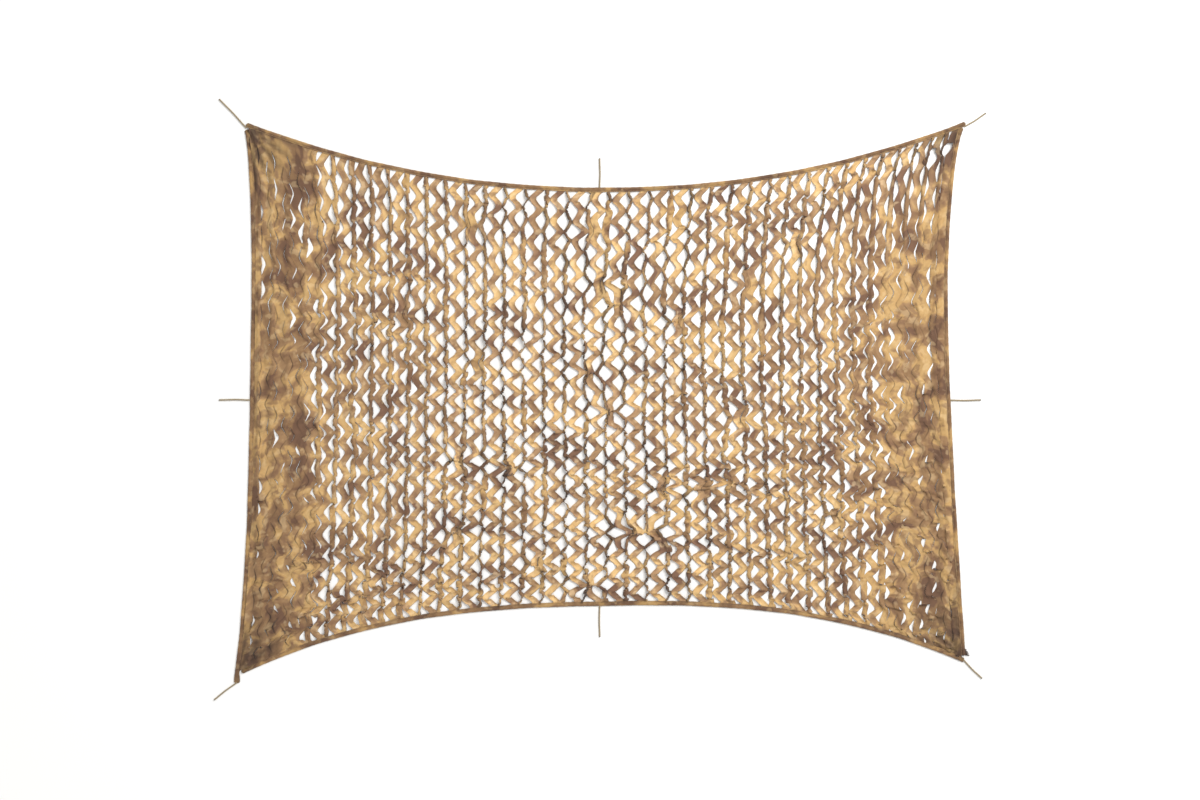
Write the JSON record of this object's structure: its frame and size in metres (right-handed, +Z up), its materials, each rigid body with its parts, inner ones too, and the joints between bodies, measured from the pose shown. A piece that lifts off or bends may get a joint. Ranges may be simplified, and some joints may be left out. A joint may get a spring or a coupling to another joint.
{
  "type": "camouflage netting",
  "caption": "Oblong cloth net, slit in wavy rows and drawn open into bowed edges, with folded bindings and short cord ties at corners and sides.",
  "frame": {"origin": "on the surface under the middle of the net, measured without its ties", "axes": "+X along the net's long way, +Y along its short way, +Z up out of the net's face"},
  "size_m": [2.1254, 1.6558, 0.0096],
  "materials": {
    "printed_cloth": "matte woven cloth printed with a desert camouflage",
    "binding_tape": "matte folded tape of the same printed cloth",
    "tie_cord": "matte braided cord"
  },
  "bodies": {
    "root": {"net_panel": "printed_cloth", "binding_top": "binding_tape", "binding_bottom": "binding_tape", "binding_left": "binding_tape", "binding_right": "binding_tape", "tie_top_left": "tie_cord", "tie_top": "tie_cord", "tie_top_right": "tie_cord", "tie_left": "tie_cord", "tie_right": "tie_cord", "tie_bottom_left": "tie_cord", "tie_bottom": "tie_cord", "tie_bottom_right": "tie_cord"}
  },
  "joints": []
}
